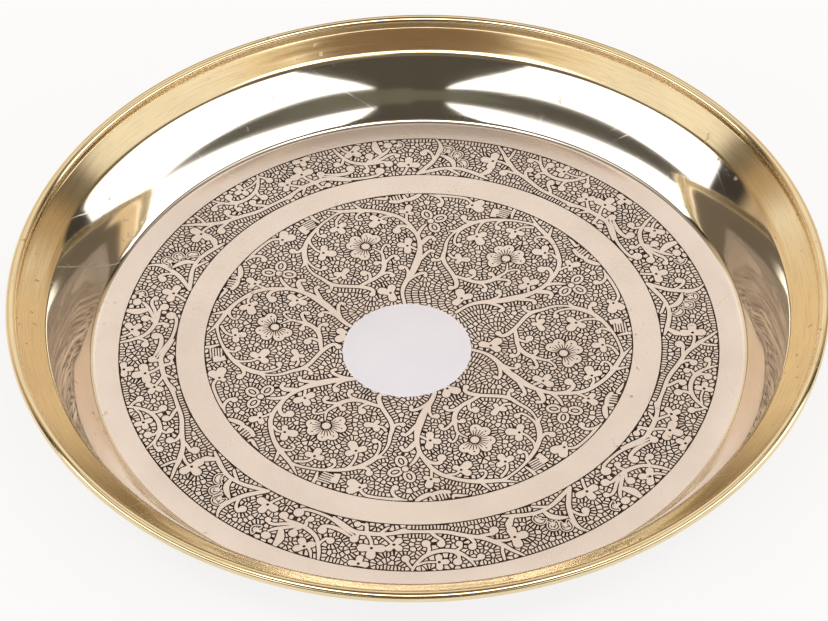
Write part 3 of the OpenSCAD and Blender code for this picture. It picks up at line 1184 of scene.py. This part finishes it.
@dataclass
class CellGround:
    """The small brass cells that fill the ground, in rows along the figures."""

    field: Field
    grid: float = 0.15
    first_row: float = 1.12
    row: float = 2.25
    spacing: float = 1.02
    crowding: float = 0.84
    hole: float = 1.42
    line: float = 0.46
    edge_line: float = 0.50
    reach: float = 1.60
    jitter: float = 0.07
    least_area: float = 0.16
    least_side: float = 0.12
    least_gap: float = 0.55

    def copies(self, points: np.ndarray) -> np.ndarray:
        """Gives places with their copies in the two neighbouring repeats."""
        pitch = self.field.pitch
        return np.vstack([points, turned(points, pitch), turned(points, -pitch)])

    def nodes(self) -> np.ndarray:
        """Lays a fine grid of places over one repeat.

        Returns:
            Rows of places.
        """
        half = math.radians(self.field.pitch / 2.0)
        reach = self.field.outer * math.sin(half)
        low = self.field.inner * math.cos(half)
        x, y = np.meshgrid(np.arange(-reach, reach, self.grid), np.arange(low, self.field.outer, self.grid))
        points = np.stack([x.ravel(), y.ravel()], 1)
        radius = np.linalg.norm(points, axis=1)
        turn = np.arctan2(points[:, 0], points[:, 1])
        return points[(radius > self.field.inner) & (radius < self.field.outer) & (np.abs(turn) <= half)]

    def clearance(self, points: np.ndarray, figures: list[Shape]) -> np.ndarray:
        """Measures how far places lie from the figures and from the field's edges.

        Args:
            points: Rows of places.
            figures: The figures of this repeat and its neighbours.

        Returns:
            The distances, under zero inside a figure.
        """
        radius = np.linalg.norm(points, axis=1)
        inner, outer = self.field.inner, self.field.outer
        gap = np.minimum(outer - radius, radius - inner if inner > 0.0 else outer)
        inside = np.zeros(len(points), bool)
        marks = []
        for figure in figures:
            inside |= figure.covers(points)
            ahead = np.roll(figure.outline, -1, 0)
            for share in (0.0, 0.33, 0.67):
                marks.append(figure.outline * (1.0 - share) + ahead * share)
        tree = KDTree(sum(map(len, marks)))
        for i, (x, y) in enumerate(np.vstack(marks)):
            tree.insert((x, y, 0.0), i)
        tree.balance()
        free = np.flatnonzero(~inside)
        gap[inside] = -1.0
        for i in free:
            distance = tree.find((*points[i], 0.0))[2]
            if distance < gap[i]:
                gap[i] = distance
        return gap

    def seeds(self, figures: list[Shape]) -> np.ndarray:
        """Walks along each row and drops a seed at every spacing, then fills what is left.

        Args:
            figures: The figures of this repeat and its neighbours.

        Returns:
            The middles of the cells.
        """
        points = self.nodes()
        gap = self.clearance(points, figures)
        found: list[np.ndarray] = []
        level = self.first_row
        while level < gap.max():
            row = points[np.abs(gap - level) < 0.6 * self.grid]
            if found:
                taken = self.copies(np.array(found))
                nearest = np.full(len(row), np.inf)
                for part in np.array_split(taken, max(1, len(taken) // 200)):
                    apart = np.linalg.norm(row[:, None] - part[None], axis=2).min(1)
                    nearest = np.minimum(nearest, apart)
                row = row[nearest > self.crowding * self.spacing]
            while len(row):
                last = found[-1] if found else row[0]
                at = row[np.argmin(((row - last) ** 2).sum(1))]
                found.append(at)
                for copy in self.copies(at[None]):
                    row = row[((row - copy) ** 2).sum(1) > self.spacing**2]
            level += self.row
        rest = points[gap > self.least_gap][::2]
        nearest = np.full(len(rest), np.inf)
        for copy in self.copies(np.array(found)):
            nearest = np.minimum(nearest, ((rest - copy) ** 2).sum(1))
        while nearest.max() > self.hole**2:
            at = rest[nearest.argmax()]
            found.append(at)
            for copy in self.copies(at[None]):
                nearest = np.minimum(nearest, ((rest - copy) ** 2).sum(1))
        dice = random.Random(self.field.seed)
        shaken = [(dice.uniform(-1, 1) * self.jitter, dice.uniform(-1, 1) * self.jitter) for _ in found]
        return np.array(found) + shaken

    def walls(self) -> np.ndarray:
        """Gives ghost seeds beyond the field's edges, which keep the cells clear of them.

        Returns:
            Rows of places.
        """
        beyond = self.first_row - self.edge_line
        rings = [self.field.outer + beyond]
        if self.field.inner > 0.0:
            rings.append(self.field.inner - beyond)
        ghosts = []
        for radius in rings:
            count = int(2.0 * math.pi * radius / self.spacing)
            ghosts.append(radius * circle(count))
        return np.vstack(ghosts)

    def cells(self, figures: list[Shape]) -> list[Shape]:
        """Gives each seed the ground that is nearest to it, less the dark line around it.

        Args:
            figures: The figures of this repeat and its neighbours.

        Returns:
            The cells of one repeat.
        """
        seeds = self.seeds(figures)
        every = np.vstack([self.copies(seeds), self.walls()])
        result = delaunay_2d_cdt([Vector(p) for p in every], [], [], 0, 1e-5, True)
        corners = np.array([tuple(p) for p in result[0]])
        triangles = np.array(result[2])
        a, b, c = (corners[triangles[:, i]] for i in range(3))
        ab, ac = b - a, c - a
        area = 2.0 * (ab[:, 0] * ac[:, 1] - ab[:, 1] * ac[:, 0])
        ab2, ac2 = (ab**2).sum(1), (ac**2).sum(1)
        offset = np.stack([ac[:, 1] * ab2 - ab[:, 1] * ac2, ab[:, 0] * ac2 - ac[:, 0] * ab2], 1)
        centre = a + offset / area[:, None]
        around: dict[int, list[np.ndarray]] = {}
        for middle, triangle in zip(centre, triangles):
            for corner in triangle:
                for source in result[3][corner]:
                    around.setdefault(source, []).append(middle)
        made = []
        for i, seed in enumerate(seeds):
            spokes = np.array(around.get(i, [])) - seed
            if len(spokes) < 3:
                continue
            length = np.linalg.norm(spokes, axis=1, keepdims=True)
            spokes *= np.minimum(1.0, self.reach / np.maximum(length, 1e-9))
            spokes = spokes[np.argsort(np.arctan2(spokes[:, 1], spokes[:, 0]))]
            apart = np.linalg.norm(spokes - np.roll(spokes, 1, 0), axis=1) > self.least_side
            if apart.sum() < 3:
                continue
            outline = grown(seed + spokes[apart], -self.line / 2.0)
            if double_area(outline) / 2.0 > self.least_area:
                made.append(Shape(Coat.CELL, outline))
        return made


@dataclass
class EtchedField:
    """The brass left standing in one etched field: its figures and the cells around them."""

    name: str
    drawing: Drawing
    field: Field
    base: float = 0.66
    top: float = 0.80
    edge_line: float = 0.30
    edge_cuts: int = 40
    overlap: float = 9.0

    def rims(self) -> list[np.ndarray]:
        """Outlines the field's two edges, as long rings of chords."""
        pace = FULL_TURN / (self.edge_cuts * self.field.repeats)
        ring = directions(np.radians(np.arange(0.0, FULL_TURN, pace)))
        radii = (self.field.outer - self.edge_line, self.field.inner + self.edge_line)
        return [ring * radius for radius in radii if radius > 1.0]

    def brass(self) -> tuple[np.ndarray, dict[str, np.ndarray]]:
        """Lays the coats of one repeat over each other and keeps what is left in brass.

        Returns:
            The corners, and the triangles between them, by the piece that they go into.
        """
        pitch = self.field.pitch
        near = math.radians(0.5 * pitch + self.overlap)
        layers = [(shape, 0) for shape in self.drawing.shapes]
        for owner in (-1, 1):
            for shape in self.drawing.shapes:
                copy = shape.turned(-owner * pitch)
                if (np.abs(np.arctan2(copy.outline[:, 0], copy.outline[:, 1])) < near).any():
                    layers.append((copy, owner))
        figures = [shape for shape, _ in layers if shape.coat is Coat.FIGURE]
        layers += [(cell, 0) for cell in CellGround(self.field).cells(figures)]

        corners: list[Vector] = []
        edges: list[tuple[int, int]] = []
        for outline in [shape.outline for shape, _ in layers] + self.rims():
            first, count = len(corners), len(outline)
            corners += [Vector(p) for p in outline]
            edges += [(first + i, first + (i + 1) % count) for i in range(count)]
        result = delaunay_2d_cdt(corners, edges, [], 0, 1e-5, False)
        points = np.array([tuple(p) for p in result[0]])
        triangles = np.array(result[2])
        middles = points[triangles].mean(1)

        rank = np.zeros(len(triangles), int)
        for shape, owner in layers:
            rank = np.maximum(rank, shape.covers(middles) * (3 * int(shape.coat) + owner + 1))
        radius = np.linalg.norm(middles, axis=1)
        kept = np.isin(rank // 3, [int(c) for c in Coat.brass()]) & (rank % 3 == 1)
        kept &= (radius < self.field.outer - self.edge_line) & (radius > self.field.inner + self.edge_line)
        cells = rank // 3 == int(Coat.CELL)
        return points, {"scroll": triangles[kept & ~cells], "cells": triangles[kept & cells]}

    def build(self, finishes: Finishes) -> list[bpy.types.Object]:
        """Builds the figures and the cells around them.

        Args:
            finishes: The shared materials.

        Returns:
            The two pieces of the field's brass.
        """
        points, parts = self.brass()
        return [
            Piece(f"{self.name}_{part}", finishes.brass, Slot.BRASS).deliver(self.raised(points, triangles))
            for part, triangles in parts.items()
        ]

    def raised(self, points: np.ndarray, triangles: np.ndarray) -> bmesh.types.BMesh:
        """Raises the brass of one repeat to the floor's level and copies it around.

        Args:
            points: The corners.
            triangles: The triangles between them.

        Returns:
            The brass of all the repeats, in millimetres.
        """
        bm = bmesh.new()
        corners = {i: bm.verts.new((*points[i], self.base)) for i in np.unique(triangles)}
        for triangle in triangles:
            bm.faces.new([corners[i] for i in triangle])
        thicken(bm, self.top - self.base)
        start = Matrix.Rotation(math.radians(self.field.first_turn), 3, "Z")
        bmesh.ops.rotate(bm, cent=ORIGIN, matrix=start, verts=bm.verts)
        rest = self.field.repeats - 1
        bmesh.ops.spin(
            bm, geom=bm.verts[:] + bm.edges[:] + bm.faces[:], axis=UP, cent=ORIGIN,
            angle=math.radians(FULL_TURN * rest / self.field.repeats), steps=rest, use_duplicate=True,
        )
        return bm


@dataclass
class PaperLabel:
    """The round label, blank, stuck off centre on the etched floor."""

    radius: float = 20.3
    thickness: float = 0.12
    right: float = -3.7
    back: float = -4.2
    floor_top: float = 0.8
    waves: int = 26
    wave_depth: float = 0.10
    edge_round: float = 0.04
    segments: int = 208

    def build(self, finishes: Finishes) -> bpy.types.Object:
        """Cuts the label from a disc with a faintly scalloped edge.

        Args:
            finishes: The shared materials.

        Returns:
            The label.
        """
        bm = bmesh.new()
        bmesh.ops.create_circle(bm, cap_ends=True, radius=self.radius, segments=self.segments)
        for vert in bm.verts:
            around = math.atan2(vert.co.y, vert.co.x)
            dip = self.wave_depth * abs(math.sin(self.waves * around / 2.0))
            vert.co.xy *= 1.0 - dip / self.radius
        thicken(bm, self.thickness)
        rim = [e for e in bm.edges if all(v.co.z > self.thickness / 2.0 for v in e.verts)]
        bmesh.ops.bevel(
            bm, geom=rim, offset=self.edge_round, segments=2, profile=0.5, affect="EDGES", material=-1,
        )
        bmesh.ops.translate(bm, vec=(self.right, self.back, self.floor_top), verts=bm.verts)
        return Piece("paper_label", finishes.paper, Slot.PAPER, ("centre_label",)).deliver(bm)


@dataclass
class PhotoCamera:
    """The camera, at the place and angle that the tray was seen from."""

    distance: float = 0.955
    elevation: float = 45.945
    roll: float = -1.418
    aim: Place = (-0.0012, 0.0131, 0.0)
    floor_top: float = 0.0008
    lens: float = 131.67
    sensor: float = 36.0

    def build(self) -> bpy.types.Object:
        """Puts the camera in the scene.

        Returns:
            The camera.
        """
        rise = math.radians(self.elevation)
        lift = Vector((0.0, 0.0, self.floor_top))
        eye = Vector((0.0, -math.cos(rise), math.sin(rise))) * self.distance + lift
        away = (Vector(self.aim) + lift - eye).normalized()
        side = away.cross(Vector(UP)).normalized()
        up = side.cross(away)
        spin = Matrix.Rotation(math.radians(-self.roll), 3, away)
        data = bpy.data.cameras.new("photo_camera")
        data.lens = self.lens
        data.sensor_width = self.sensor
        data.clip_start = 0.05
        data.clip_end = 60.0
        made = linked("photo_camera", data)
        axes = Matrix((spin @ side, spin @ up, -away)).transposed()
        made.matrix_world = Matrix.Translation(eye) @ axes.to_4x4()
        bpy.context.scene.camera = made
        return made


@dataclass
class Studio:
    """A pale floor, and a surround of two soft boxes, the dark gaps beside them and a pale back.

    Directions are in degrees: side is the turn away from the camera's side, and height the
    rise from the horizon.
    """

    floor_reach: float = 14.0
    floor_colour: Colour = (0.90, 0.90, 0.90)
    floor_glow: float = 0.78
    box_light: float = 2.1
    box_top: float = 33.0
    canopy_top: float = 56.0
    canopy_light: Colour = (0.17, 0.145, 0.115)
    top_light: Colour = (1.08, 1.05, 1.00)
    top_edge_light: Colour = (0.92, 0.74, 0.48)
    front_light: Colour = (5.2, 5.2, 5.2)
    slot_light: Colour = (0.22, 0.14, 0.075)
    back_light: Colour = (1.00, 0.97, 0.93)
    low_back_light: Colour = (0.80, 0.64, 0.47)
    left_back_light: Colour = (0.88, 0.72, 0.53)
    dusk_light: Colour = (0.20, 0.135, 0.08)
    strip_light: Colour = (0.52, 0.38, 0.23)
    gap_light: Colour = (0.085, 0.076, 0.058)
    horizon_light: Colour = (0.150, 0.145, 0.105)
    side_gap_light: Colour = (0.050, 0.042, 0.034)
    far_light: Colour = (0.16, 0.12, 0.08)
    left_foot: tuple[float, float] = (0.350, 0.092)
    right_foot: tuple[float, float] = (0.367, 0.062)
    left_edge: tuple[float, float, float] = (96.0, 31.6, 54.0)
    right_edge: tuple[float, float, float] = (107.0, 36.0, 60.0)
    edge_power: float = 3.5
    side_gap: float = 12.0
    side_fade: float = 24.0
    gap_half: float = 9.0
    gap_spread: float = 26.0
    gap_heights: Span = (18.5, 30.0)
    lid_sides: Span = (52.0, 70.0)
    lid_drop: float = -9.0
    spill_inner: Span = (7.0, 9.0)
    spill_outer: Span = (24.0, 21.0)
    spill_heights: Span = (44.0, 47.0)
    far_sides: Span = (150.0, 166.0)
    far_low: Span = (60.0, 68.0)
    far_high: Span = (86.0, 80.0)
    slot_heights: Span = (68.0, 72.0)
    front_sides: Span = (72.0, 60.0)
    front_low: Span = (56.0, 60.0)
    front_high: Span = (75.0, 71.0)
    back_heights: Span = (27.0, 40.0)
    dusk_sides: Span = (156.0, 170.0)
    dusk_heights: Span = (28.0, 16.0)

    def floor(self) -> bpy.types.Object:
        """Lays the floor.

        Returns:
            The floor.
        """
        material, graph = new_graph("pale_floor")
        paths = graph.add("ShaderNodeLightPath").outputs
        seen = Signal(graph, paths["Is Camera Ray"]) + Signal(graph, paths["Is Glossy Ray"])
        shown = seen + Signal(graph, paths["Is Transmission Ray"])
        matt = graph.add("ShaderNodeBsdfDiffuse", sockets={"Color": (*self.floor_colour, 1.0)})
        glow = graph.add("ShaderNodeEmission", sockets={"Color": (1.0, 1.0, 1.0, 1.0), "Strength": 1.0})
        mix = {0: shown * self.floor_glow, 1: matt.outputs[0], 2: glow.outputs[0]}
        graph.surface(graph.add("ShaderNodeMixShader", sockets=mix))
        bm = bmesh.new()
        bmesh.ops.create_circle(bm, cap_ends=True, radius=self.floor_reach, segments=64)
        made = mesh_object("pale_floor", bm, material)
        return made

    def outer_edge(self, height: Signal, right: Signal) -> Signal:
        """Gives the side at which the soft boxes end, which opens out towards the top.

        Args:
            height: The height of the direction.
            right: 1 to the right and 0 to the left.

        Returns:
            The side, in degrees.
        """
        (start, reach, top), (right_start, right_reach, right_top) = self.left_edge, self.right_edge
        share = height.over(0.0) * (right * (1.0 / right_top - 1.0 / top) + 1.0 / top)
        bowed = share ** self.edge_power * (right * (right_reach - reach) + reach)
        return bowed + right * (right_start - start) + start

    def surround(self) -> bpy.types.World:
        """Lights the tray from the world, in the places where its mirror wall shows light.

        Returns:
            The world.
        """
        world = bpy.data.worlds.new("studio")
        world.use_nodes = True
        bpy.context.scene.world = world
        graph = Graph(world.node_tree)
        x, y, z = graph.parts(graph.add("ShaderNodeTexCoord").outputs["Generated"])
        degrees = math.degrees(1.0)
        right = x.step(-0.02, 0.02)
        side = abs(x.angle_from(y * -1.0)) * degrees
        height = z.arcsine() * degrees

        gap = height.step(*self.gap_heights) * self.gap_spread + self.gap_half
        outer = self.outer_edge(height, right)
        outside = (outer - side).step(-0.8, 0.8)
        (left_foot, left_lean), (right_foot, right_lean) = self.left_foot, self.right_foot
        rise = z + y * (right * (right_foot - left_foot) + left_foot)
        foot = rise - abs(x) * (right * (right_lean - left_lean) + left_lean)
        low = height.step(self.box_top + 1.0, self.box_top - 1.0)
        box = (side - gap).step(-0.7, 0.7) * outside * foot.step(-0.004, 0.004) * low

        lid = side.step(*self.lid_sides) * self.lid_drop + self.canopy_top
        spill = right * side.step(*self.spill_inner) * side.step(*self.spill_outer)
        high = (height - lid).step(-1.5, 1.5).over(spill * height.step(*self.spill_heights))
        far = side.step(*self.far_sides) * height.step(*self.far_low) * height.step(*self.far_high)
        over = high * outside * (1.0 - far)

        past = side - outer
        strip = past.step(self.side_gap - 3.0, self.side_gap + 3.0)
        back = past.step(self.side_fade - 6.0, self.side_fade + 6.0) * height.step(-1.0, 2.0)
        near = graph.mixed(rise.step(0.004, -0.004), self.gap_light, self.horizon_light)
        beside = graph.mixed(past.step(-0.8, 0.8), near, self.side_gap_light)
        roofed = graph.mixed(height.step(self.box_top - 1.0, self.box_top + 1.0), beside, self.canopy_light)
        browned = graph.mixed(strip, roofed, self.strip_light)
        low_back = graph.mixed(x.step(-0.3, 0.3), self.left_back_light, self.low_back_light)
        dusk = side.step(*self.dusk_sides) * height.step(*self.dusk_heights)
        dimmed = graph.mixed(dusk, low_back, self.dusk_light)
        behind = graph.mixed(height.step(*self.back_heights), dimmed, self.back_light)
        beyond = graph.mixed(far, graph.mixed(back, browned, behind), self.far_light)

        front = side.step(*self.front_sides) * height.step(*self.front_high) * height.step(*self.front_low)
        slot = abs(x).step(z * 0.37, z * 0.17) * height.step(*self.slot_heights)
        gilt = graph.mixed(abs(x).step(z * 0.28, z * 0.48), self.top_edge_light, self.top_light)
        covered = graph.mixed(slot, graph.mixed(front, gilt, self.front_light), self.slot_light)
        colour = graph.mixed(over, graph.mixed(box, beyond, (self.box_light,) * 3), covered)
        shader = graph.add("ShaderNodeBackground", {}, {"Color": colour, "Strength": 1.0})
        graph.add("ShaderNodeOutputWorld", sockets={"Surface": shader.outputs[0]})
        return world

    def build(self) -> None:
        """Sets up the studio and plain colour management."""
        self.floor()
        self.surround()
        bpy.context.scene.view_settings.view_transform = "Standard"


def main() -> None:
    """Builds the studio, then each piece of the tray in order."""
    logging.basicConfig(level=logging.INFO, format="%(name)s %(message)s")
    PhotoCamera().build()
    Studio().build()
    finishes = Finishes(SpunBrass().material(), RubbedEnamel().material(), LabelPaper().material())
    medallion = Field(inner=0.0, outer=67.6, repeats=6, first_turn=-159.0, seed=11)
    border = Field(inner=76.4, outer=94.6, repeats=5, first_turn=-180.0, seed=23)
    SpunPlate((medallion, border)).build(finishes)
    EnamelGround("medallion_ground", "medallion_enamel", medallion).build(finishes)
    EnamelGround("border_ground", "border_enamel", border).build(finishes)
    EtchedField("medallion", MedallionDrawing(medallion), medallion).build(finishes)
    EtchedField("border", BorderDrawing(border), border).build(finishes)
    PaperLabel().build(finishes)


if __name__ == "__main__":
    main()
